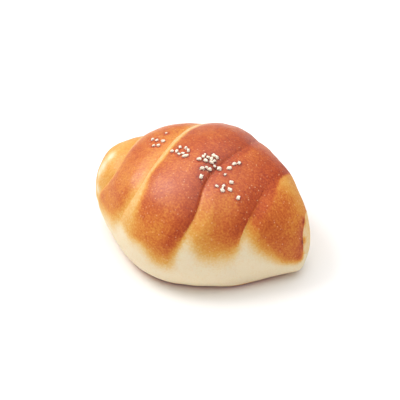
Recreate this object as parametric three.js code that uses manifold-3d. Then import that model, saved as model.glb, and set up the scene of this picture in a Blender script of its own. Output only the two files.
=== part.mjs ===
// A salted butter roll: one tapering strip of dough, wound into a plump spindle and baked.
// Millimetres, +Z up. The roll lies along X on the plane z = 0 and its front looks towards -Y.
// A place on the crust is a latitude along the roll (0 at the middle, 90 at the right tip)
// and a turn round it (0 on the crown, 90 at the front, -90 at the back), in degrees.
import * as THREE from 'three';
import { mergeVertices } from 'three/addons/utils/BufferGeometryUtils.js';
import Module from 'manifold-3d';

// The roll as a whole
const rollLength = 110;
const rollWidth = 88.2;
const rollHeight = 55.5;
const tipHeight = 12.5;
const tipHalfWidth = 11.4;
const tipHalfHeight = 10.1;
const leftTipRise = 2.8;
const rightTipDroop = 1.2;
const rightBelly = { rise: 1.4, from: 0.25, to: 0.8 };
const baseSink = 8.7;
const bellyShare = 0.49;

// How the outline swells: a larger bulge is fuller, a larger taper is more pointed
const plan = { bulge: 2.1, taper: 1.5 };
const crown = { bulge: 1.06, taper: 0.5, softness: 0.15 };
const tipSquareness = 12;
const bellyLift = 1.75;
const roundness = { above: 2.21, below: 2.44 };

// Where the dough rose a little more, or less: latitude, turn and height of each soft swell
const swells = [
  [-60, -10, 0.9], [-29, -34, 1.4], [39, -58, 1.2], [60, -62, 0.3],
  [20, 133, -0.5], [34, 139, 1.25], [76, 150, 1.8],
];
const swellReach = { latitude: 10, turn: 34 };

// The two edges of the wound strip: winding angle and latitude, from the tail under the back
// of the roll, over the crown (0, 360, 720) and inwards until the winding ends in the tips
const tailAngle = -150;
const visibleTurns = 3;
const rightEdge = [
  [-150, -5], [-90, 8], [-45, 16.2], [-20, 17], [20, 12.3], [48, 14.2], [90, 8], [130, 8], [210, 24],
  [300, 36.5], [345, 37.4], [390, 38.8], [431, 36.8], [460, 35.5], [520, 39], [600, 56], [690, 67],
  [735, 77], [760, 81], [820, 82], [1000, 86], [1290, 89],
];
const leftEdge = [
  [-150, -5], [-90, -8.5], [-35, -14.2], [-8, -16.8], [21, -18.6], [45, -20.4], [72, -26], [100, -30],
  [150, -34], [270, -39.5], [345, -41.3], [376, -42.4], [390, -43.2], [407, -46], [422, -50.4],
  [435, -55.2], [450, -60.2], [510, -73], [720, -82], [1000, -86], [1290, -89],
];

// The step where one turn of the strip lies on the turn below it. On the right the second turn
// has melted into the third, and the third ends in a low rim round the tip. A crease opens over
// the crown from its depth at the back, and closes again towards the base: both are ranges of
// turns.
const creaseDepth = { front: 1.5, back: 0.6, below: 0.35 };
const opensBetween = [-25, 20];
const closesBetween = [45, 95];
const tipFade = 22;
const edgeRounding = { width: 10, power: 2.4 };
const valley = { width: 8, power: 1.5 };
const seamSoftness = { crisp: 0.5, melted: 3, rim: 1.5 };
const rimShare = 0.6;

// Coarse salt near the crown: millimetres along the roll, turn, length and spin of each crystal
const saltCrystals = [
  [-25.5, -2, 2.1, 80], [-23, -1, 1.9, 85], [-20, -1, 2.3, 20], [-22.5, 4, 1.9, 30],
  [-20.5, 3, 2, 75], [-21.5, -10, 1.4, 26], [-11, 8, 2.1, 10], [-8.5, 4, 2.1, 110],
  [-5.5, 4, 2, 70], [-3.5, 6, 2.3, 115], [-8.5, 8, 2.4, 110], [-6.5, 10, 1.8, -20],
  [-5, 9, 2, -10], [-3.5, 11, 2.4, 40], [-2.5, 10, 2, 60], [4.5, 5, 1.6, 110],
  [4.5, 7, 2.4, 115], [3.5, 10, 2.6, 30], [6.5, 9, 2.4, -5], [6.5, 6, 2.1, 35],
  [8, 6, 2.5, 110], [8, 3, 2.4, 10], [9.5, 3, 2.4, -20], [9, 8, 2.6, 20],
  [9.5, 6, 1.9, 60], [7, 15, 2.6, 26], [8.5, 13, 1.8, 10], [10, 13, 2.4, 20],
  [11, 9, 1.8, 0], [13.5, 9, 2.7, 22], [17, 12, 1.6, 90], [17, 6, 2.6, 40],
  [17.5, 1, 2.4, 60], [19, -1, 2.4, 100], [8.5, 21, 2.6, 100], [16.5, 23, 1.9, -10],
  [19.5, 25, 2.5, 30], [19, 23, 1.6, 110], [19, 21, 2, 70], [21, 16, 2.3, 28],
  [22, 22, 2.6, 10], [26.5, 26, 2.4, 105],
];
const saltWidthShare = 0.72;
const saltHeightShare = 0.66;
const saltBedding = 0.22;
const saltRoughness = 0.16;
const saltSeed = 4595;

// Facets
const facetsAlong = 104;
const facetsRound = 38;
const probeStep = 0.05;

const toRadians = THREE.MathUtils.degToRad;
const toDegrees = THREE.MathUtils.radToDeg;

function signedPower(value, power) {
  return Math.sign(value) * Math.abs(value) ** power;
}

// The smooth spindle that the bands swell out to, before any crease
function spindlePoint(latitude, turn) {
  const along = Math.sin(toRadians(latitude));
  const out = Math.min(Math.abs(along), 1);
  const tip = Math.sqrt(1 - out ** tipSquareness);
  const planSwell = (1 - out ** plan.bulge) ** plan.taper;
  const crownOut = (Math.hypot(out, crown.softness) - crown.softness)
    / (Math.hypot(1, crown.softness) - crown.softness);
  const crownSwell = Math.max(1 - crownOut ** crown.bulge, 0) ** crown.taper;
  const halfWidth = (rollWidth / 2 - tipHalfWidth) * planSwell + tipHalfWidth * tip;
  const tipTop = tipHeight + tipHalfHeight * tip;
  const top = tipTop + (rollHeight - tipHeight - tipHalfHeight) * crownSwell;
  const underside = tipHeight + baseSink - tipHalfHeight * tip;
  const rightRise = rightBelly.rise * tip
    * THREE.MathUtils.smoothstep(along, rightBelly.from, rightBelly.to);
  const bottom = underside * out ** bellyLift - baseSink + rightRise;
  const middle = bottom + (top - bottom) * bellyShare;
  const up = Math.cos(toRadians(turn));
  const front = Math.sin(toRadians(turn));
  const power = 2 / (up > 0 ? roundness.above : roundness.below);
  const reach = up > 0 ? top - middle : middle - bottom;
  const droop = (along > 0 ? rightTipDroop : leftTipRise) * along ** 3;
  return new THREE.Vector3(
    (rollLength / 2) * along,
    -halfWidth * signedPower(front, power),
    middle + reach * signedPower(up, power) - droop,
  );
}

// A smooth line through knots of [winding, latitude]
function latitudeOf(knots, winding) {
  const last = knots.length - 2;
  let i = 0;
  while (i < last && winding > knots[i + 1][0]) i += 1;
  const slope = (k) => (knots[k + 1][1] - knots[k][1]) / (knots[k + 1][0] - knots[k][0]);
  const tangent = (k) => {
    if (k === 0) return slope(0);
    if (k > last) return slope(last);
    const before = knots[k][0] - knots[k - 1][0];
    const after = knots[k + 1][0] - knots[k][0];
    return (slope(k - 1) * after + slope(k) * before) / (before + after);
  };
  const span = knots[i + 1][0] - knots[i][0];
  const t = (winding - knots[i][0]) / span;
  const start = knots[i][1] * (1 + 2 * t) * (1 - t) ** 2 + tangent(i) * span * t * (1 - t) ** 2;
  const end = knots[i + 1][1] * t * t * (3 - 2 * t) + tangent(i + 1) * span * t * t * (t - 1);
  return start + end;
}

// How soft a seam's line is, and what share of the crease's depth it has
function seamOf(k, onRight, turn) {
  if (!onRight || k < 1) return { softness: seamSoftness.crisp, share: 1 };
  const open = openAt(turn);
  if (k > 1) return { softness: seamSoftness.rim, share: rimShare * open };
  return { softness: seamSoftness.melted, share: open };
}

function openAt(turn) {
  return THREE.MathUtils.smoothstep(turn, ...opensBetween);
}

function softened(distance, softness) {
  return Math.hypot(distance, softness) - softness / 2;
}

// How far the crust lies below the spindle: each turn of the strip rounds down at its own edge,
// and comes out from under the turn above it in a shallow valley
function creaseAt(latitude, turn) {
  const winding = THREE.MathUtils.euclideanModulo(turn - tailAngle, 360) + tailAngle;
  let roundedOff = 0;
  let sunken = 0;
  for (let k = 0; k < visibleTurns; k += 1) {
    const left = latitudeOf(leftEdge, winding + 360 * k);
    const right = latitudeOf(rightEdge, winding + 360 * k);
    if (latitude > left && latitude < right) {
      const seam = seamOf(k, right - latitude < latitude - left, turn);
      const toEdge = softened(Math.min(latitude - left, right - latitude), seam.softness);
      roundedOff = seam.share * Math.max(1 - toEdge / edgeRounding.width, 0) ** edgeRounding.power;
      break;
    }
    const seam = seamOf(k, latitude > right, turn);
    const fromEdge = softened(Math.max(left - latitude, latitude - right), seam.softness);
    sunken = seam.share * (1 - THREE.MathUtils.smoothstep(fromEdge, 0, valley.width)) ** valley.power;
  }
  const above = THREE.MathUtils.lerp(creaseDepth.back, creaseDepth.front, openAt(turn));
  const below = THREE.MathUtils.smoothstep(Math.abs(turn), ...closesBetween);
  const depth = THREE.MathUtils.lerp(above, creaseDepth.below, below) * clearOfTip(latitude);
  return depth * (roundedOff + sunken);
}

function clearOfTip(latitude) {
  return THREE.MathUtils.smoothstep(90 - Math.abs(latitude), 0, tipFade);
}

function swellAt(latitude, turn) {
  let height = 0;
  for (const [atLatitude, atTurn, swell] of swells) {
    const aside = (latitude - atLatitude) / swellReach.latitude;
    const away = THREE.MathUtils.euclideanModulo(turn - atTurn + 180, 360) - 180;
    height += swell * Math.exp(-(aside ** 2) - (away / swellReach.turn) ** 2);
  }
  return height * clearOfTip(latitude);
}

function outwardAt(surface, latitude, turn) {
  const alongSkin = surface(latitude + probeStep, turn).sub(surface(latitude - probeStep, turn));
  const roundSkin = surface(latitude, turn + probeStep).sub(surface(latitude, turn - probeStep));
  return alongSkin.cross(roundSkin).normalize().negate();
}

function crustPoint(latitude, turn) {
  const point = spindlePoint(latitude, turn);
  if (Math.abs(latitude) < 90 - probeStep) {
    const rise = swellAt(latitude, turn) - creaseAt(latitude, turn);
    point.addScaledVector(outwardAt(spindlePoint, latitude, turn), rise);
  }
  point.z = Math.max(point.z, 0);
  return point;
}

function doughGeometry() {
  const geometry = new THREE.SphereGeometry(1, facetsRound, facetsAlong);
  geometry.rotateZ(-Math.PI / 2);
  const places = geometry.getAttribute('position');
  for (let i = 0; i < places.count; i += 1) {
    const latitude = toDegrees(Math.asin(THREE.MathUtils.clamp(places.getX(i), -1, 1)));
    const turn = toDegrees(Math.atan2(-places.getY(i), places.getZ(i)));
    const point = crustPoint(latitude, turn);
    places.setXYZ(i, point.x, point.y, point.z);
  }
  return geometry;
}

// Repeatable draws between 0 and 1
function makeDraws(seed) {
  let state = seed;
  return () => {
    state = (state * 16807) % 2147483647;
    return state / 2147483647;
  };
}

function crystalGeometry(draw) {
  const geometry = new THREE.IcosahedronGeometry(1, 0);
  geometry.deleteAttribute('normal');
  geometry.deleteAttribute('uv');
  const crystal = mergeVertices(geometry);
  const places = crystal.getAttribute('position');
  for (let i = 0; i < places.count; i += 1) {
    const size = 1 + saltRoughness * (2 * draw() - 1);
    places.setXYZ(i, places.getX(i) * size, places.getY(i) * size, places.getZ(i) * size);
  }
  return crystal;
}

function saltGeometries() {
  const draw = makeDraws(saltSeed);
  const upright = new THREE.Vector3(0, 0, 1);
  return saltCrystals.map(([along, turn, length, spin]) => {
    const latitude = toDegrees(Math.asin(along / (rollLength / 2)));
    const height = length * saltHeightShare;
    const outward = outwardAt(crustPoint, latitude, turn);
    const place = crustPoint(latitude, turn).addScaledVector(outward, height * saltBedding);
    const crystal = crystalGeometry(draw);
    crystal.scale(length / 2, (length * saltWidthShare) / 2, height / 2);
    crystal.rotateZ(toRadians(spin));
    crystal.applyQuaternion(new THREE.Quaternion().setFromUnitVectors(upright, outward));
    crystal.translate(place.x, place.y, place.z);
    return crystal;
  });
}

const wasm = await Module();
wasm.setup();

function solidOf(source) {
  source.deleteAttribute('normal');
  source.deleteAttribute('uv');
  const merged = mergeVertices(source, 1e-4);
  const vertProperties = new Float32Array(merged.getAttribute('position').array);
  const triVerts = new Uint32Array(merged.getIndex().array);
  return new wasm.Manifold(new wasm.Mesh({ numProp: 3, vertProperties, triVerts }));
}

function geometryOf(solid) {
  const mesh = solid.getMesh();
  const geometry = new THREE.BufferGeometry();
  geometry.setAttribute('position', new THREE.BufferAttribute(mesh.vertProperties, 3));
  geometry.setIndex(new THREE.BufferAttribute(mesh.triVerts, 1));
  geometry.computeVertexNormals();
  return geometry;
}

// The salt is baked on, so dough and crystals are one solid
function makeRoll() {
  let solid = solidOf(doughGeometry());
  for (const crystal of saltGeometries()) {
    solid = solid.add(solidOf(crystal));
  }
  const crust = new THREE.MeshStandardMaterial({ color: 0xc9713a, roughness: 0.5, metalness: 0 });
  const roll = new THREE.Mesh(geometryOf(solid), crust);
  roll.name = 'roll';
  return roll;
}

const breadRoll = new THREE.Group();
breadRoll.add(makeRoll());

export default breadRoll;
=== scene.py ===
# A salted butter roll, dressed over its frame: the baked crust and the coarse salt on it.
# A place on the crust is a latitude along the roll (-90 at the left tip, 90 at the right) and
# a turn round it (0 on the crown, 90 at the front, -90 at the back), in degrees.
# The roll's own sizes are in millimetres, the studio's in metres.
import math

import bpy
import numpy as np
from mathutils import Matrix, Vector, noise


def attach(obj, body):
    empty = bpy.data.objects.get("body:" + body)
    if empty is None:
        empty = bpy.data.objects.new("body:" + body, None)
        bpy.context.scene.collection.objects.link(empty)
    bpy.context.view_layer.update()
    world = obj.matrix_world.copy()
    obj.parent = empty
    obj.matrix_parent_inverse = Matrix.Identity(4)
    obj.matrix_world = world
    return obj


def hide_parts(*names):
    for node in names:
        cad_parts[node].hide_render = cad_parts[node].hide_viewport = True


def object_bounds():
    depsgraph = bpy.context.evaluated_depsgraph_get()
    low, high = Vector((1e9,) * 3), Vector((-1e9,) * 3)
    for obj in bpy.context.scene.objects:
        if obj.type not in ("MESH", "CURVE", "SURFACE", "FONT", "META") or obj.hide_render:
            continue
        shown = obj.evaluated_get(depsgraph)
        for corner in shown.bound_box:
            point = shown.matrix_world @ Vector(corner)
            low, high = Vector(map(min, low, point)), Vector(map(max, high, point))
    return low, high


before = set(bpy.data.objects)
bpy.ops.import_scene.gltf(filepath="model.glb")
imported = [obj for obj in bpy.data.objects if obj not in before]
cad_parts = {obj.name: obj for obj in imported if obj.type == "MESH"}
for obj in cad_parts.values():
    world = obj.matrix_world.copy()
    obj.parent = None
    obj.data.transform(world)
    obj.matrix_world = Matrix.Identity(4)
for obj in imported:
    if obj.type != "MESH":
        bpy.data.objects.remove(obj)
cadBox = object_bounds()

metresPerMm = 0.001
measures = [round((high - low) / metresPerMm, 1) for low, high in zip(*cadBox)]
print("frame loaded, the roll measures", measures, "mm")


# The dough: one tapering strip wound into a spindle
dough = {
    "length": 110.0,
    "width": 88.2,
    "height": 55.5,
    "tipHeight": 12.5,
    "tipHalfWidth": 11.4,
    "tipHalfHeight": 10.1,
    "tipSquareness": 12,                              # higher is blunter
    "leftTipRise": 2.8,
    "rightTipDroop": 1.2,
    "rightBellyRise": 1.4,
    "rightBellySpan": (0.25, 0.8),                    # shares of the way to the tip
    "baseSink": 8.7,                                  # pressed flat on the tray
    "bellyShare": 0.49,                               # how high up the roll is widest
    "bellyLift": 1.75,                                # higher keeps the underside flat for longer
    "planBulge": 2.1,                                 # a larger bulge is fuller
    "planTaper": 1.5,                                 # a larger taper is more pointed
    "crownBulge": 1.06,
    "crownTaper": 0.5,
    "crownSoftness": 0.15,
    "roundAbove": 2.21,                               # 2 is an ellipse, more is squarer
    "roundBelow": 2.44,
    "swells": [(-60, -10, 0.9), (-29, -34, 1.4), (39, -58, 1.2), (60, -62, 0.3), (20, 133, -0.5),
               (34, 139, 1.25), (76, 150, 1.8)],      # latitude, turn, height
    "swellReach": (10, 34),                           # latitude, turn
    "creaseInFront": 1.5,
    "creaseBehind": 0.6,
    "creaseBelow": 0.35,
    "opensBetween": (-25, 20),                        # turns over which a crease deepens to the front
    "closesBetween": (45, 95),                        # and over which it flattens towards the base
    "tipFade": 22,                                    # the last degrees of latitude stay smooth
    "roundingWidth": 10,
    "roundingPower": 2.4,
    "valleyWidth": 8,
    "valleyPower": 1.5,
    "nipDepth": 0.45,                                 # the sharp line at the bottom of a crease
    "nipWidth": 1.3,
    "nipKeptBehind": 0.3,
    "unevenness": 0.35,                               # soft bumps of the risen dough
    "unevenSize": 17,
    "unevenDetail": (1.0, 2.0, 3),                    # roughness, step in size, number of sizes
    "unevenAbove": 8,                                 # height over which the bumps grow
    "unevenTipFade": 12,
    "rows": 380,
    "columns": 256,
    "rowsPulled": 3,                                  # on either side of a crease
}

# How soft the strip's seams are, by the band beside them (see bandsAt): at the band's own edge
# and where the band comes out from under the turn above it
seams = {
    "ownSoftness": [0.5, 0.5, 0.5, 0.5, 3, 1.5, 0.5],
    "ownShare": [1, 1, 1, 1, 1, 0.6, 1],
    "upperSoftness": [0.5, 0.5, 0.5, 0.5, 0.5, 3, 1.5],
    "upperShare": [1, 1, 1, 1, 1, 1, 0.6],
    "crispBelow": 1,                                  # a softer seam than this is closed at the back
}

# Winding angle and latitude of the strip's two edges, from the tail under the back inwards
tailAngle = -150
visibleTurns = 3
leftTip = 0                                           # the bands, counted from the left
outermost = visibleTurns
rightTip = 2 * visibleTurns
rightEdge = [
    (-150, -5), (-90, 8), (-45, 16.2), (-20, 17), (20, 12.3), (48, 14.2), (90, 8), (130, 8), (210, 24),
    (300, 36.5), (345, 37.4), (390, 38.8), (431, 36.8), (460, 35.5), (520, 39), (600, 56), (690, 67),
    (735, 77), (760, 81), (820, 82), (1000, 86), (1290, 89),
]
leftEdge = [
    (-150, -5), (-90, -8.5), (-35, -14.2), (-8, -16.8), (21, -18.6), (45, -20.4), (72, -26), (100, -30),
    (150, -34), (270, -39.5), (345, -41.3), (376, -42.4), (390, -43.2), (407, -46), (422, -50.4),
    (435, -55.2), (450, -60.2), (510, -73), (720, -82), (1000, -86), (1290, -89),
]


def signedPower(value, power):
    return np.sign(value) * np.abs(value) ** power


def smoothStep(value, low, high):
    t = np.clip((value - low) / (high - low), 0, 1)
    return t * t * (3 - 2 * t)


# The smooth form that the wound strip fills, before any crease
def spindlePoints(latitude, turn):
    along = np.sin(np.radians(latitude))
    out = np.minimum(np.abs(along), 1)
    tip = np.sqrt(1 - out ** dough["tipSquareness"])
    planSwell = (1 - out ** dough["planBulge"]) ** dough["planTaper"]
    soft = dough["crownSoftness"]
    crownOut = (np.hypot(out, soft) - soft) / (math.hypot(1, soft) - soft)
    crownSwell = np.maximum(1 - crownOut ** dough["crownBulge"], 0) ** dough["crownTaper"]
    halfWidth = (dough["width"] / 2 - dough["tipHalfWidth"]) * planSwell + dough["tipHalfWidth"] * tip
    tipTop = dough["tipHeight"] + dough["tipHalfHeight"] * tip
    top = tipTop + (dough["height"] - dough["tipHeight"] - dough["tipHalfHeight"]) * crownSwell
    underside = dough["tipHeight"] + dough["baseSink"] - dough["tipHalfHeight"] * tip
    rightRise = dough["rightBellyRise"] * tip * smoothStep(along, *dough["rightBellySpan"])
    bottom = underside * out ** dough["bellyLift"] - dough["baseSink"] + rightRise
    middle = bottom + (top - bottom) * dough["bellyShare"]
    up = np.cos(np.radians(turn))
    front = np.sin(np.radians(turn))
    power = 2 / np.where(up > 0, dough["roundAbove"], dough["roundBelow"])
    reach = np.where(up > 0, top - middle, middle - bottom)
    droop = np.where(along > 0, dough["rightTipDroop"], dough["leftTipRise"]) * along ** 3
    x = dough["length"] / 2 * along
    y = -halfWidth * signedPower(front, power)
    z = middle + reach * signedPower(up, power) - droop
    return np.stack(np.broadcast_arrays(x, y, z), -1)


# A smooth line through knots of (winding, latitude)
def latitudeOf(knots, winding):
    x, y = np.array(knots, float).T
    gap = np.diff(x)
    slope = np.diff(y) / gap
    tangent = np.empty(len(x))
    tangent[0] = slope[0]
    tangent[-1] = slope[-1]
    tangent[1:-1] = (slope[:-1] * gap[1:] + slope[1:] * gap[:-1]) / (gap[:-1] + gap[1:])
    i = np.clip(np.searchsorted(x, winding) - 1, 0, len(gap) - 1)
    t = (winding - x[i]) / gap[i]
    start = y[i] * (1 + 2 * t) * (1 - t) ** 2 + tangent[i] * gap[i] * t * (1 - t) ** 2
    end = y[i + 1] * t * t * (3 - 2 * t) + tangent[i + 1] * gap[i] * t * t * (t - 1)
    return start + end


def windingOf(turn):
    return (turn - tailAngle) % 360 + tailAngle


# Which turn of the strip lies uppermost at a place, and how far off its borders are.
# The bands count from 0, the left tip, over 3, the outermost turn, to 6, the right tip.
def bandsAt(latitude, turn):
    latitude, turn = np.broadcast_arrays(np.asarray(latitude, float), np.asarray(turn, float))
    winding = windingOf(turn)
    band = np.where(latitude > 0, rightTip, leftTip)
    fromLeft = latitude + 90
    fromRight = 90 - latitude
    innerLeft = np.full(latitude.shape, np.inf)
    innerRight = np.full(latitude.shape, -np.inf)
    found = np.zeros(latitude.shape, bool)
    for k in range(visibleTurns):
        left = latitudeOf(leftEdge, winding + 360 * k)
        right = latitudeOf(rightEdge, winding + 360 * k)
        here = (latitude > left) & (latitude < right) & ~found
        onRight = latitude > (innerLeft + innerRight) / 2 if k else latitude > left
        band = np.where(here, np.where(onRight, outermost + k, outermost - k), band)
        fromLeft = np.where(here, latitude - np.where(onRight & (k > 0), innerRight, left), fromLeft)
        fromRight = np.where(here, np.where(~onRight & (k > 0), innerLeft, right) - latitude, fromRight)
        found = found | here
        innerLeft = left
        innerRight = right
    fromLeft = np.where(band == rightTip, latitude - innerRight, fromLeft)
    fromRight = np.where(band == leftTip, innerLeft - latitude, fromRight)
    return band, fromLeft, fromRight


# 0 at each tip, 1 where the tips no longer count
def clearOfTip(latitude, fade):
    return smoothStep(90 - np.abs(latitude), 0, fade)


def openAt(turn):
    return smoothStep(turn, *dough["opensBetween"])


def seamAt(name, band, turn):
    softness = np.array(seams[name + "Softness"], float)[band]
    share = np.array(seams[name + "Share"], float)[band]
    return softness, share * np.where(softness > seams["crispBelow"], openAt(turn), 1)


def softened(distance, softness):
    return np.hypot(distance, softness) - softness / 2


# How far the crust lies below the spindle: each turn of the strip rounds down at its own edge,
# and comes out from under the turn above it in a shallow valley
def creaseAt(latitude, turn, nip=0.0):
    band, fromLeft, fromRight = bandsAt(latitude, turn)
    nearest = np.minimum(fromLeft, fromRight)
    ownEdge = np.where(band > outermost, fromRight, np.where(band < outermost, fromLeft, nearest))
    ownEdge = np.where((band == leftTip) | (band == rightTip), np.inf, ownEdge)
    upperEdge = np.where(band > outermost, fromLeft, np.where(band < outermost, fromRight, np.inf))
    ownSoftness, ownShare = seamAt("own", band, turn)
    upperSoftness, upperShare = seamAt("upper", band, turn)
    opened = openAt(turn)
    closed = smoothStep(np.abs(turn), *dough["closesBetween"])
    onTop = dough["creaseBehind"] + (dough["creaseInFront"] - dough["creaseBehind"]) * opened
    depth = (onTop + (dough["creaseBelow"] - onTop) * closed) * clearOfTip(latitude, dough["tipFade"])
    toEdge = softened(ownEdge, ownSoftness)
    fromEdge = softened(upperEdge, upperSoftness)
    roundedOff = ownShare * np.maximum(1 - toEdge / dough["roundingWidth"], 0) ** dough["roundingPower"]
    sunken = upperShare * (1 - smoothStep(fromEdge, 0, dough["valleyWidth"])) ** dough["valleyPower"]
    crisp = np.where(ownEdge < upperEdge, ownSoftness, upperSoftness) < seams["crispBelow"]
    nipped = nip * (1 - smoothStep(np.minimum(ownEdge, upperEdge), 0, dough["nipWidth"])) * crisp
    nipKept = dough["nipKeptBehind"] + (1 - dough["nipKeptBehind"]) * opened
    nipped = nipped * nipKept * (1 - closed) * clearOfTip(latitude, dough["tipFade"])
    return depth * (roundedOff + sunken) + nipped


def swellAt(latitude, turn):
    height = 0
    for atLatitude, atTurn, swell in dough["swells"]:
        aside = (latitude - atLatitude) / dough["swellReach"][0]
        away = ((turn - atTurn + 180) % 360 - 180) / dough["swellReach"][1]
        height = height + swell * np.exp(-aside ** 2 - away ** 2)
    return height * clearOfTip(latitude, dough["tipFade"])


# The direction straight out of a surface, felt by a small step each way
def outwardAt(surface, latitude, turn):
    probe = 0.05
    tiny = 1e-12                                      # so that a tip doesn't divide by nothing
    alongSkin = surface(latitude + probe, turn) - surface(latitude - probe, turn)
    roundSkin = surface(latitude, turn + probe) - surface(latitude, turn - probe)
    outward = np.cross(roundSkin, alongSkin)
    return outward / (np.linalg.norm(outward, axis=-1, keepdims=True) + tiny)


def crustPoints(latitude, turn, nip=0.0):
    latitude, turn = np.broadcast_arrays(np.asarray(latitude, float), np.asarray(turn, float))
    rise = swellAt(latitude, turn) - creaseAt(latitude, turn, nip)
    points = spindlePoints(latitude, turn) + outwardAt(spindlePoints, latitude, turn) * rise[..., None]
    points[..., 2] = np.maximum(points[..., 2], 0)
    return points


# Rows of the mesh that lie near a crease are pulled onto it, so that its line stays clean
def latitudeGrid():
    spacing = 180 / (dough["rows"] + 1)
    count = np.arange(dough["rows"])
    rows = -90 + spacing * (count + 1)
    turns = -180 + 360 / dough["columns"] * np.arange(dough["columns"])
    latitude, turn = np.meshgrid(rows, turns, indexing="ij")
    winding = windingOf(turns)
    for knots in (leftEdge, rightEdge):
        for k in range(visibleTurns):
            crease = latitudeOf(knots, winding + 360 * k)
            nearest = np.clip(np.round((crease + 90) / spacing).astype(int) - 1, 0, dough["rows"] - 1)
            pull = crease - rows[nearest]
            rowsOff = np.abs(count[:, None] - nearest[None, :])
            latitude = latitude + pull[None, :] * np.clip(1 - rowsOff / dough["rowsPulled"], 0, 1)
    return latitude, turn


# How dark the crust is at each place, from 0, cream dough, to 1, dark red-brown crust. Mostly
# this comes from baking, but painted shade and light are mixed in: a painted shadow round the
# salt, painted contact shade along the bottom edge, and band sides that are partly painted
# shade and light. Lists of seven go by band, from the left tip to the right tip. Left and right
# are a band's two sides.
bakeAndShading = {
    "toneOnCrown": [0.22, 0.36, 0.57, 0.70, 0.70, 0.43, 0.10],
    "toneInFront": [0.22, 0.28, 0.57, 0.53, 0.48, 0.63, 0.10],
    # The darker right sides are partly burnt edges and partly painted shade on flanks that face away from
    # the light
    "rightToneOnCrown": [0.30, 0.34, 0.44, 0.90, 0.88, 0.46, 0.10],
    "rightToneInFront": [0.30, 0.30, 0.28, 0.90, 0.88, 0.80, 0.10],
    "rightWidth": [6, 5, 5, 13, 14, 12, 1],           # latitude over which it takes that tone
    # The paler left sides are partly dough that came out late and partly painted light on flanks that
    # face the light; on the crown of bands 4 and 5 the left side is dark instead, the crown's own brown
    # deepened as painted shade in the creases
    "leftToneOnCrown": [0.22, 0.28, 0.30, 0.18, 0.84, 0.96, 0.10],
    "leftToneInFront": [0.22, 0.28, 0.34, 0.24, 0.40, 0.74, 0.10],
    "leftWidthOnCrown": [1, 4, 3.2, 4.2, 2.5, 3.2, 1],
    "leftWidthInFront": [1, 4, 3, 12.5, 10, 7, 1],
    "leftSpan": (0.55, 1.25),                         # shares of that width between which it ends
    "leftWander": 1.2,                                # latitude by which that end strays
    "crownEnds": [15, 15, 5, 20, 8, -20, 15],         # turns between which the front takes over
    "frontBegins": [68, 68, 60, 88, 56, 14, 68],
    "leftFadeAt": [70, 82, 78, 72, 51, 45, 70],       # turn at which brown gives way to cream
    "rightFadeAt": [70, 80, 66, 84, 72, 105, 70],
    "fadeArch": [0, 4, 7, 2, 9, 10, 0],               # and how much lower it does in between
    "leftFadeReach": [20, 20, 30, 14, 27, 28, 20],
    "rightFadeReach": [20, 20, 27, 23, 28, 24, 20],
    "backFadeAt": 92,
    "fadeWander": 8,                                  # turn by which the fading strays
    "fullHeat": 1.05,                                 # the darkest tone that the heat allows
    "blurRows": 9,                                    # low down the seams melt into each other
    "blurBetween": (52, 80),                          # turns over which they do
    "cloud": 0.14,                                    # soft patches, lighter and darker
    "cloudSize": 12,
    "pale": [(-53, 17, 3.4), (-58, 34, 3.8), (-62, 47, 3.2), (-61, 76, 3.6)],
    "paleness": 0.95,                                 # those spots are taken most of the way to cream
    "scorched": [(70, -12, 1.7), (79, 23, 1.7)],      # both lists: latitude, turn and radius
    "scorchedTone": 0.4,
    "saltShadowTone": 0.34,                            # painted shadow round each salt crystal, darkening the crust
    "saltShadowReach": 1.4,
    "brushedTo": 80,                                  # the glaze was brushed on over the crown
    "brushedMiddle": -12,
    "brushedHalf": 65,
    "brushedFade": 50,
    "baseTone": 0.75,                                 # browned on the tray, and darker still as painted contact shade
    "baseReach": (0.8, 2.6),                          # heights over which that brown and shade end
    "baseWander": 0.5,
}


def byBand(name, band):
    return np.array(bakeAndShading[name], float)[band]


# A value that passes from its list for the crown to its list for the front
def downBand(name, band, turn):
    front = smoothStep(turn, byBand("crownEnds", band), byBand("frontBegins", band))
    return byBand(name + "OnCrown", band) * (1 - front) + byBand(name + "InFront", band) * front


# A value that passes from its list for the band's left side to its list for the right side
def acrossBand(name, band, across):
    return byBand("left" + name, band) * (1 - across) + byBand("right" + name, band) * across


# A band's right side takes a darker tone, partly burnt and partly painted shade, and its left side a
# paler one, partly late-risen dough and partly painted light, with painted crease shade on the crown of
# bands 4 and 5
def bandTone(band, fromLeft, fromRight, turn, cloud):
    tone = downBand("tone", band, turn) + bakeAndShading["cloud"] * cloud
    rightShare = 1 - smoothStep(fromRight, 0, byBand("rightWidth", band))
    tone = tone + (downBand("rightTone", band, turn) - tone) * rightShare
    begins, ends = [share * downBand("leftWidth", band, turn) for share in bakeAndShading["leftSpan"]]
    leftShare = 1 - smoothStep(fromLeft + bakeAndShading["leftWander"] * cloud, begins, ends)
    return tone + (downBand("leftTone", band, turn) - tone) * leftShare


# The strongest tone that the heat allows, by how many degrees of turn a place lies too low
def heatAt(tooLow, reach):
    return bakeAndShading["fullHeat"] * (1 - smoothStep(tooLow, -reach, reach))


# The smaller of two tones, with a soft change from the one to the other
def lesserOf(first, second):
    sharpness = 6
    least = 0.001                                     # a tone of 0 can't be raised to this power
    first = np.maximum(first, least)
    second = np.maximum(second, least)
    return (first ** -sharpness + second ** -sharpness) ** (-1 / sharpness)


# 1 at a place on the crust, sinking to nothing round it
def spotAt(points, latitude, turn, radius):
    distance = np.linalg.norm(points - crustPoints(latitude, turn), axis=-1)
    return np.exp(-(distance / radius) ** 2)


# The crust's tone at each place: the baking, with painted shade and light added in
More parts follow.
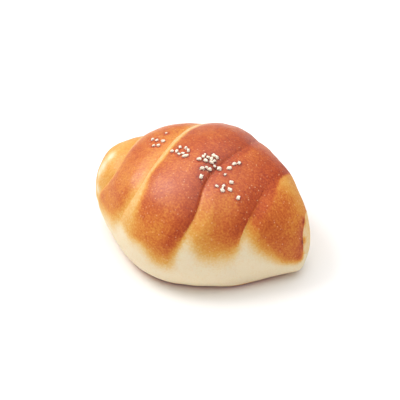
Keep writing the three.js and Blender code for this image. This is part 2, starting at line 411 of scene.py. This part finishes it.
def bakeAndShadingAt(latitude, turn, points):
    band, fromLeft, fromRight = bandsAt(latitude, turn)
    cloud = [noise.noise(Vector(point) / bakeAndShading["cloudSize"]) for point in points.reshape(-1, 3)]
    cloud = np.array(cloud).reshape(turn.shape)
    tone = bandTone(band, fromLeft, fromRight, turn, cloud)
    across = fromLeft / (fromLeft + fromRight)
    arch = byBand("fadeArch", band) * 4 * across * (1 - across)
    fadeAt = acrossBand("FadeAt", band, across) + arch
    reach = acrossBand("FadeReach", band, across)
    stray = bakeAndShading["fadeWander"] * cloud
    tone = lesserOf(tone, heatAt(turn - fadeAt + stray, reach))
    tone = lesserOf(tone, heatAt(-turn - bakeAndShading["backFadeAt"] + stray, reach))
    for spotLatitude, spotTurn, radius in bakeAndShading["scorched"]:
        tone = tone + bakeAndShading["scorchedTone"] * spotAt(points, spotLatitude, spotTurn, radius)
    for spotLatitude, spotTurn, radius in bakeAndShading["pale"]:
        tone = tone * (1 - bakeAndShading["paleness"] * spotAt(points, spotLatitude, spotTurn, radius))
    # Painted shadow round each salt crystal: the crust's tone is darkened near it
    saltShadow = np.zeros(turn.shape)
    for along, saltTurn, _, _ in salt["crystals"]:
        crystalShadow = spotAt(points, latitudeAt(along), saltTurn, bakeAndShading["saltShadowReach"])
        saltShadow = np.maximum(saltShadow, crystalShadow)
    tone = tone + bakeAndShading["saltShadowTone"] * saltShadow
    # The underside is browned from the tray, and its lowest edge is darkened further as painted contact
    # shade where it meets the floor
    trayBrownAndShade = 1 - smoothStep(points[..., 2] + bakeAndShading["baseWander"] * cloud, *bakeAndShading["baseReach"])
    tone = tone + (bakeAndShading["baseTone"] - tone) * trayBrownAndShade
    return np.clip(tone, 0, 1)


def brushedAt(latitude, turn):
    overCrown = smoothStep(bakeAndShading["brushedTo"] - np.abs(turn), 0, bakeAndShading["brushedFade"])
    aside = np.abs(latitude - bakeAndShading["brushedMiddle"])
    return overCrown * smoothStep(bakeAndShading["brushedHalf"] - aside, 0, bakeAndShading["brushedFade"])


def blurredAlong(values, reach):
    weights = np.hanning(2 * reach + 3)[1:-1]
    padded = np.pad(values, ((reach, reach), (0, 0)), mode="edge")
    return sum(weight * padded[i:i + len(values)] for i, weight in enumerate(weights / weights.sum()))


def unevennessAt(latitude, points):
    bumps = [noise.fractal(Vector(point) / dough["unevenSize"], *dough["unevenDetail"])
             for point in points.reshape(-1, 3)]
    offTray = smoothStep(points[..., 2], 0, dough["unevenAbove"])
    kept = offTray * clearOfTip(latitude, dough["unevenTipFade"])
    return dough["unevenness"] * np.array(bumps).reshape(latitude.shape) * kept


# Rings of points joined by quads, with a fan of triangles at each tip
def closedMesh(name, rings, firstTip, lastTip):
    rows, columns = rings.shape[:2]
    points = np.concatenate([rings.reshape(-1, 3), [firstTip, lastTip]]) * metresPerMm
    row, column = np.meshgrid(np.arange(rows - 1), np.arange(columns), indexing="ij")
    nextColumn = (column + 1) % columns
    here = row * columns
    above = here + columns
    quads = np.stack([here + column, above + column, above + nextColumn, here + nextColumn], -1)
    first = rows * columns
    last = first + 1
    lastRow = (rows - 1) * columns
    column = np.arange(columns)
    nextColumn = (column + 1) % columns
    firstFan = np.stack([np.full(columns, first), column, nextColumn], -1)
    lastFan = np.stack([np.full(columns, last), lastRow + nextColumn, lastRow + column], -1)
    faces = quads.reshape(-1, 4).tolist() + firstFan.tolist() + lastFan.tolist()
    mesh = bpy.data.meshes.new(name)
    mesh.from_pydata(points.tolist(), [], faces)
    mesh.validate()
    return mesh


def storeOnPoints(mesh, name, values, atTips):
    attribute = mesh.attributes.new(name, "FLOAT", "POINT")
    everywhere = np.concatenate([values.reshape(-1), atTips])
    attribute.data.foreach_set("value", everywhere.astype(np.float32))


def addSmoothPiece(name, mesh):
    mesh.polygons.foreach_set("use_smooth", [True] * len(mesh.polygons))
    piece = bpy.data.objects.new(name, mesh)
    bpy.context.collection.objects.link(piece)
    return piece


def makeCrust():
    latitude, turn = latitudeGrid()
    points = crustPoints(latitude, turn, dough["nipDepth"])
    outward = outwardAt(spindlePoints, latitude, turn)
    points = points + outward * unevennessAt(latitude, points)[..., None]
    tips = spindlePoints(np.array([-90.0, 90.0]), np.zeros(2))
    mesh = closedMesh("crust", points, tips[0], tips[1])
    bakedAndShaded = bakeAndShadingAt(latitude, turn, points)
    blurred = blurredAlong(bakedAndShaded, bakeAndShading["blurRows"])
    bakedAndShaded = bakedAndShaded + (blurred - bakedAndShaded) * smoothStep(turn, *bakeAndShading["blurBetween"])
    storeOnPoints(mesh, "bakeAndShading", bakedAndShaded, [bakedAndShaded[0].mean(), bakedAndShaded[-1].mean()])
    storeOnPoints(mesh, "brushed", brushedAt(latitude, turn), [0, 0])
    return addSmoothPiece("crust", mesh)


# Coarse salt: millimetres along the roll, turn, length and spin of each crystal
salt = {
    "crystals": [
        (-25.5, -2, 2.1, 80), (-23, -1, 1.9, 85), (-20, -1, 2.3, 20), (-22.5, 4, 1.9, 30),
        (-20.5, 3, 2, 75), (-21.5, -10, 1.4, 26), (-11, 8, 2.1, 10), (-8.5, 4, 2.1, 110),
        (-5.5, 4, 2, 70), (-3.5, 6, 2.3, 115), (-8.5, 8, 2.4, 110), (-6.5, 10, 1.8, -20),
        (-5, 9, 2, -10), (-3.5, 11, 2.4, 40), (-2.5, 10, 2, 60), (4.5, 5, 1.6, 110),
        (4.5, 7, 2.4, 115), (3.5, 10, 2.6, 30), (6.5, 9, 2.4, -5), (6.5, 6, 2.1, 35),
        (8, 6, 2.5, 110), (8, 3, 2.4, 10), (9.5, 3, 2.4, -20), (9, 8, 2.6, 20),
        (9.5, 6, 1.9, 60), (7, 15, 2.6, 26), (8.5, 13, 1.8, 10), (10, 13, 2.4, 20),
        (11, 9, 1.8, 0), (13.5, 9, 2.7, 22), (17, 12, 1.6, 90), (17, 6, 2.6, 40),
        (17.5, 1, 2.4, 60), (19, -1, 2.4, 100), (8.5, 21, 2.6, 100), (16.5, 23, 1.9, -10),
        (19.5, 25, 2.5, 30), (19, 23, 1.6, 110), (19, 21, 2, 70), (21, 16, 2.3, 28),
        (22, 22, 2.6, 10), (26.5, 26, 2.4, 105),
    ],
    "widthShare": 0.72,
    "heightShare": 0.66,
    "bedding": 0.22,                                  # share of its height from the crust to its middle
    "seed": 4595,
    "subdivisions": 3,
    "cornerWear": 26,                                 # lower is rounder
    "faceDepth": 0.86,                                # of the cube's six faces, 1 is untouched
    "chips": 9,
    "chipDepth": 0.8,
    "chipDepthSpread": 0.16,
    "dentDepth": 0.9,
    "dentScale": 1.6,                                 # higher is finer
    "dentSpread": 20,                                 # so that no two crystals have the same dents
}


def latitudeAt(along):
    return math.degrees(math.asin(along / (dough["length"] / 2)))


# Draws between 0 and 1 that come out the same in every run
def makeDraws(seed):
    multiplier = 16807
    modulus = 2147483647
    state = [seed]

    def draw():
        state[0] = state[0] * multiplier % modulus
        return state[0] / modulus
    return draw


# A cube of salt with worn corners, a few chipped ones and shallow dents
def crystalPoints(directions, draw):
    normals = [Vector(n) for n in ((1, 0, 0), (-1, 0, 0), (0, 1, 0), (0, -1, 0), (0, 0, 1), (0, 0, -1))]
    depths = [salt["faceDepth"]] * len(normals)
    for _ in range(salt["chips"]):
        chip = Vector((draw() - 0.5, draw() - 0.5, draw() - 0.5)).normalized()
        normals.append(chip)
        depths.append(salt["chipDepth"] + salt["chipDepthSpread"] * draw())
    wear = salt["cornerWear"]
    facing = np.maximum(directions @ np.array(normals).T, 0) / np.array(depths)
    radius = (facing ** wear).sum(-1) ** (-1 / wear)
    elsewhere = Vector((draw(), draw(), draw())) * salt["dentSpread"]
    dents = [noise.noise(Vector(direction) * salt["dentScale"] + elsewhere) for direction in directions]
    radius = radius * (1 - salt["dentDepth"] * np.maximum(dents, 0))
    return directions * radius[:, None]


def makeSalt():
    bpy.ops.mesh.primitive_ico_sphere_add(subdivisions=salt["subdivisions"], radius=1)
    ball = bpy.context.object
    directions = np.array([vertex.co.normalized() for vertex in ball.data.vertices])
    triangles = np.array([polygon.vertices for polygon in ball.data.polygons])
    bpy.data.objects.remove(ball, do_unlink=True)
    draw = makeDraws(salt["seed"])
    upright = Vector((0, 0, 1))
    points = []
    faces = []
    for along, turn, length, spin in salt["crystals"]:
        latitude = latitudeAt(along)
        outward = outwardAt(crustPoints, latitude, turn)
        height = length * salt["heightShare"]
        place = crustPoints(latitude, turn) + outward * height * salt["bedding"]
        half = np.array([length, length * salt["widthShare"], height]) / 2
        local = crystalPoints(directions, draw) * half
        spun = np.array(Matrix.Rotation(math.radians(spin), 3, "Z"))
        turnUp = np.array(upright.rotation_difference(Vector(outward)).to_matrix())
        points.append((local @ (turnUp @ spun).T + place) * metresPerMm)
        faces.append(triangles + len(faces) * len(directions))
    mesh = bpy.data.meshes.new("saltCrystals")
    mesh.from_pydata(np.concatenate(points).tolist(), [], np.concatenate(faces).tolist())
    return addSmoothPiece("saltCrystals", mesh)


# An sRGB colour as the linear light that Blender works in, with full cover
def hexColour(code):
    channels = [int(code[i:i + 2], 16) / 255 for i in (1, 3, 5)]
    linear = [c / 12.92 if c <= 0.04045 else ((c + 0.055) / 1.055) ** 2.4 for c in channels]
    return (*linear, 1.0)


def patternScale(size):
    return 1 / (size * metresPerMm)


# Inputs go by name, with _ for a blank, or by number as _0, _1. A socket is linked, and any
# other value is set.
def addNode(tree, kind, settings=None, **inputs):
    node = tree.nodes.new(kind)
    for name, value in (settings or {}).items():
        setattr(node, name, value)
    for name, value in inputs.items():
        socket = node.inputs[int(name[1:])] if name[1:].isdigit() else node.inputs[name.replace("_", " ")]
        if isinstance(value, bpy.types.NodeSocket):
            tree.links.new(value, socket)
        else:
            socket.default_value = value
    return node


def newMaterial(name):
    material = bpy.data.materials.new(name)
    material.use_nodes = True
    material.node_tree.nodes.clear()
    return material, material.node_tree


# Wheat crust, proved, brushed with butter and baked: brown where it rose into the heat, cream
# where it lay low or came out of a crease late. The tone it reads also holds painted shade: a
# shadow round the salt, contact shade along the bottom edge, and shade and light on the bands'
# sides. The glaze leaves a soft broad sheen over the crown, the sides are dry and matt, and fine
# blisters speckle both.
crustLook = {
    "colours": [(0.0, "#F0DFBE"), (0.13, "#EAC688"), (0.28, "#E2A54C"), (0.44, "#D98830"),
                (0.60, "#CB6722"), (0.75, "#B84A10"), (0.90, "#A03406"), (1.0, "#701C04")],
    "detail": 3.0,
    "grainSize": 0.9,
    "grainShare": 0.58,
    "mottleSize": 3.0,
    "mottleShare": 0.22,
    "unevenMiddle": -0.40,                            # takes off what grain and mottle add on average
    "calmTone": 0.05,                                 # cream is calmer than brown
    "livelyTone": 0.5,
    "calmShare": 0.25,
    "blisterColour": "#F4C896",
    "blisterSize": 1.6,                               # spacing
    "blisterMiddle": 0.08,                            # shares of the spacing
    "blisterRim": 0.30,
    "blisterFree": 0.35,                              # share of the places that have none
    "blisterPaleness": 0.55,
    "creamRoughness": 0.7,
    "creamTone": 0.1,
    "brownRoughness": 0.64,
    "brownTone": 0.6,
    "glaze": 0.7,                                     # brushed on thin before baking
    "glazeIor": 1.5,
    "glazedRoughness": 0.46,
    "ior": 1.45,
    "specular": 0.42,                                 # a porous skin shades its own glints
    "bumpHeight": 0.12,
    "bumpStrength": 0.6,
    "blisterBump": 0.6,
    "grainBump": 0.8,
    "soak": 0.12,                                     # light that passes through the skin
    "soakColour": (1.0, 0.45, 0.2),
    "soakDepth": 1.0,
}


def bakedWheatCrust():
    look = crustLook
    multiplyAdd = {"operation": "MULTIPLY_ADD"}
    multiply = {"operation": "MULTIPLY"}
    material, tree = newMaterial("bakedWheatCrust")
    place = addNode(tree, "ShaderNodeTexCoord").outputs["Object"]
    bakedAndShaded = addNode(tree, "ShaderNodeAttribute", {"attribute_name": "bakeAndShading"}).outputs["Fac"]
    brushed = addNode(tree, "ShaderNodeAttribute", {"attribute_name": "brushed"}).outputs["Fac"]
    grain = addNode(tree, "ShaderNodeTexNoise", Vector=place, Scale=patternScale(look["grainSize"]),
                    Detail=look["detail"]).outputs["Fac"]
    mottle = addNode(tree, "ShaderNodeTexNoise", Vector=place, Scale=patternScale(look["mottleSize"]),
                     Detail=look["detail"]).outputs["Fac"]
    uneven = addNode(tree, "ShaderNodeMath", multiplyAdd,
                     _0=mottle, _1=look["mottleShare"], _2=look["unevenMiddle"]).outputs[0]
    uneven = addNode(tree, "ShaderNodeMath", multiplyAdd,
                     _0=grain, _1=look["grainShare"], _2=uneven).outputs[0]
    weight = addNode(tree, "ShaderNodeMapRange", Value=bakedAndShaded, From_Min=look["calmTone"],
                     From_Max=look["livelyTone"], To_Min=look["calmShare"], To_Max=1.0).outputs[0]
    tone = addNode(tree, "ShaderNodeMath", multiplyAdd, _0=uneven, _1=weight, _2=bakedAndShaded).outputs[0]
    ramp = addNode(tree, "ShaderNodeValToRGB", _0=tone)
    stops = ramp.color_ramp.elements
    while len(stops) < len(look["colours"]):
        stops.new(0.5)
    for stop, (position, code) in zip(stops, look["colours"]):
        stop.position = position
        stop.color = hexColour(code)

    cells = addNode(tree, "ShaderNodeTexVoronoi", Vector=place, Scale=patternScale(look["blisterSize"]))
    dot = addNode(tree, "ShaderNodeMapRange", {"interpolation_type": "SMOOTHSTEP"},
                  Value=cells.outputs["Distance"], From_Min=look["blisterMiddle"],
                  From_Max=look["blisterRim"], To_Min=1.0, To_Max=0.0).outputs[0]
    chance = addNode(tree, "ShaderNodeSeparateColor", Color=cells.outputs["Color"]).outputs[0]
    chosen = addNode(tree, "ShaderNodeMapRange", Value=chance, From_Min=look["blisterFree"],
                     From_Max=1.0, To_Min=0.0, To_Max=look["blisterPaleness"]).outputs[0]
    blister = addNode(tree, "ShaderNodeMath", multiply, _0=dot, _1=chosen).outputs[0]
    colour = addNode(tree, "ShaderNodeMix", {"data_type": "RGBA"}, _0=blister,
                     _6=ramp.outputs["Color"], _7=hexColour(look["blisterColour"])).outputs[2]

    bare = addNode(tree, "ShaderNodeMapRange", Value=tone, From_Min=look["creamTone"],
                   From_Max=look["brownTone"], To_Min=look["creamRoughness"],
                   To_Max=look["brownRoughness"]).outputs[0]
    roughness = addNode(tree, "ShaderNodeMapRange", Value=brushed, To_Min=bare,
                        To_Max=look["glazedRoughness"]).outputs[0]
    glaze = addNode(tree, "ShaderNodeMath", multiply, _0=brushed, _1=look["glaze"]).outputs[0]
    relief = addNode(tree, "ShaderNodeMath", multiplyAdd,
                     _0=grain, _1=look["grainBump"], _2=mottle).outputs[0]
    relief = addNode(tree, "ShaderNodeMath", multiplyAdd,
                     _0=blister, _1=look["blisterBump"], _2=relief).outputs[0]
    bump = addNode(tree, "ShaderNodeBump", Strength=look["bumpStrength"],
                   Distance=look["bumpHeight"] * metresPerMm, Height=relief).outputs[0]
    shader = addNode(tree, "ShaderNodeBsdfPrincipled", Base_Color=colour, Roughness=roughness,
                     IOR=look["ior"], Specular_IOR_Level=look["specular"], Normal=bump,
                     Coat_Weight=glaze, Coat_Roughness=look["glazedRoughness"],
                     Coat_IOR=look["glazeIor"], Subsurface_Weight=look["soak"],
                     Subsurface_Radius=look["soakColour"],
                     Subsurface_Scale=look["soakDepth"] * metresPerMm)
    addNode(tree, "ShaderNodeOutputMaterial", Surface=shader.outputs[0])
    return material


# Coarse cooking salt, crystallised and crushed: cloudy white, with light that soaks in a little
# and small bright glints on the broken faces
saltLook = {
    "colour": "#FFEEDA",
    "cloudSize": 0.8,
    "detail": 3.0,
    "clearCloud": 0.3,
    "denseCloud": 0.7,
    "clearRoughness": 0.20,
    "denseRoughness": 0.52,
    "ior": 1.54,
    "bumpHeight": 0.1,
    "bumpStrength": 0.5,
    "soak": 0.5,
    "soakColour": (1.0, 0.9, 0.8),
    "soakDepth": 0.2,
}


def crushedSalt():
    look = saltLook
    material, tree = newMaterial("crushedSalt")
    place = addNode(tree, "ShaderNodeTexCoord").outputs["Object"]
    cloud = addNode(tree, "ShaderNodeTexNoise", Vector=place, Scale=patternScale(look["cloudSize"]),
                    Detail=look["detail"]).outputs["Fac"]
    roughness = addNode(tree, "ShaderNodeMapRange", Value=cloud, From_Min=look["clearCloud"],
                        From_Max=look["denseCloud"], To_Min=look["clearRoughness"],
                        To_Max=look["denseRoughness"]).outputs[0]
    bump = addNode(tree, "ShaderNodeBump", Strength=look["bumpStrength"],
                   Distance=look["bumpHeight"] * metresPerMm, Height=cloud).outputs[0]
    shader = addNode(tree, "ShaderNodeBsdfPrincipled", Base_Color=hexColour(look["colour"]),
                     Roughness=roughness, IOR=look["ior"], Normal=bump,
                     Subsurface_Weight=look["soak"], Subsurface_Radius=look["soakColour"],
                     Subsurface_Scale=look["soakDepth"] * metresPerMm)
    addNode(tree, "ShaderNodeOutputMaterial", Surface=shader.outputs[0])
    return material


crust = makeCrust()
crust.data.materials.append(bakedWheatCrust())
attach(crust, "root")
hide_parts("roll")
print("crust made:", len(crust.data.vertices), "points")

crystals = makeSalt()
crystals.data.materials.append(crushedSalt())
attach(crystals, "root")
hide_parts("roll")
print("salt made:", len(crystals.data.polygons), "faces")


# The table and the light
studio = {
    "floorSize": 6.0,
    "floorColour": "#FAF9F8",
    "floorRoughness": 0.9,
    "floorSpecular": 0.1,
    "horizonStrength": 0.14,                          # the room is lit from its ceiling
    "zenithStrength": 1.55,
    "keyLight": {"from": (-0.58, -0.12, 0.80), "distance": 1.1, "size": 0.6, "power": 5.9},
    "fillLight": {"from": (0.10, 0.30, 0.95), "distance": 1.1, "size": 1.4, "power": 2.8},
}

# The camera: it looks at aim, which shows at aimPixel of a square picture, and its focal
# length is in pixels of that picture
view = {
    "azimuth": 26.1,
    "elevation": 39.1,
    "distance": 0.6875,
    "aim": (0, 0, 0.0125),
    "aimPixel": (200.7, 218.7),
    "focalPixels": 1443,
    "imageSize": 400,
    "sensorWidth": 36,
    "nearest": 0.01,
    "farthest": 50,
}


# Matt white card, dull and even, so that only the roll's soft shadow shows on it
def whiteCard():
    material, tree = newMaterial("whiteCard")
    shader = addNode(tree, "ShaderNodeBsdfPrincipled", Base_Color=hexColour(studio["floorColour"]),
                     Roughness=studio["floorRoughness"], Specular_IOR_Level=studio["floorSpecular"])
    addNode(tree, "ShaderNodeOutputMaterial", Surface=shader.outputs[0])
    return material


def addFloor():
    bpy.ops.mesh.primitive_plane_add(size=studio["floorSize"])
    floor = bpy.context.object
    floor.name = "floor"
    floor.data.materials.append(whiteCard())


def addSoftLight(name):
    settings = studio[name]
    data = bpy.data.lights.new(name, "AREA")
    data.shape = "DISK"
    data.size = settings["size"]
    data.energy = settings["power"]
    lamp = bpy.data.objects.new(name, data)
    direction = Vector(settings["from"]).normalized()
    lamp.location = direction * settings["distance"] + Vector(view["aim"])
    lamp.rotation_euler = direction.to_track_quat("Z", "Y").to_euler()
    bpy.context.collection.objects.link(lamp)


def addRoom():
    world = bpy.data.worlds.new("paleRoom")
    world.use_nodes = True
    tree = world.node_tree
    tree.nodes.clear()
    direction = addNode(tree, "ShaderNodeTexCoord").outputs["Generated"]
    height = addNode(tree, "ShaderNodeSeparateXYZ", Vector=direction).outputs["Z"]
    squared = addNode(tree, "ShaderNodeMath", {"operation": "MULTIPLY"}, _0=height, _1=height).outputs[0]
    strength = addNode(tree, "ShaderNodeMapRange", Value=squared, To_Min=studio["horizonStrength"],
                       To_Max=studio["zenithStrength"]).outputs[0]
    background = addNode(tree, "ShaderNodeBackground", Color=hexColour("#FFFFFF"), Strength=strength)
    addNode(tree, "ShaderNodeOutputWorld", Surface=background.outputs[0])
    bpy.context.scene.world = world


def addCamera():
    azimuth = math.radians(view["azimuth"])
    elevation = math.radians(view["elevation"])
    right = Vector((math.cos(azimuth), math.sin(azimuth), 0))
    level = Vector((math.sin(azimuth), -math.cos(azimuth), 0))
    back = level * math.cos(elevation) + Vector((0, 0, math.sin(elevation)))
    up = back.cross(right)
    aim = Vector(view["aim"])
    perPixel = view["distance"] / view["focalPixels"]
    middle = view["imageSize"] / 2
    offset = right * (middle - view["aimPixel"][0]) + up * (view["aimPixel"][1] - middle)
    data = bpy.data.cameras.new("photoCamera")
    data.sensor_width = view["sensorWidth"]
    data.lens = view["sensorWidth"] * view["focalPixels"] / view["imageSize"]
    data.clip_start = view["nearest"]
    data.clip_end = view["farthest"]
    camera = bpy.data.objects.new("photoCamera", data)
    camera.location = aim + back * view["distance"]
    target = aim + offset * perPixel
    camera.rotation_euler = (target - camera.location).to_track_quat("-Z", "Y").to_euler()
    bpy.context.collection.objects.link(camera)
    bpy.context.scene.camera = camera


addFloor()
addSoftLight("keyLight")
addSoftLight("fillLight")
addRoom()
addCamera()
bpy.context.scene.view_settings.view_transform = "Standard"
print("studio set")
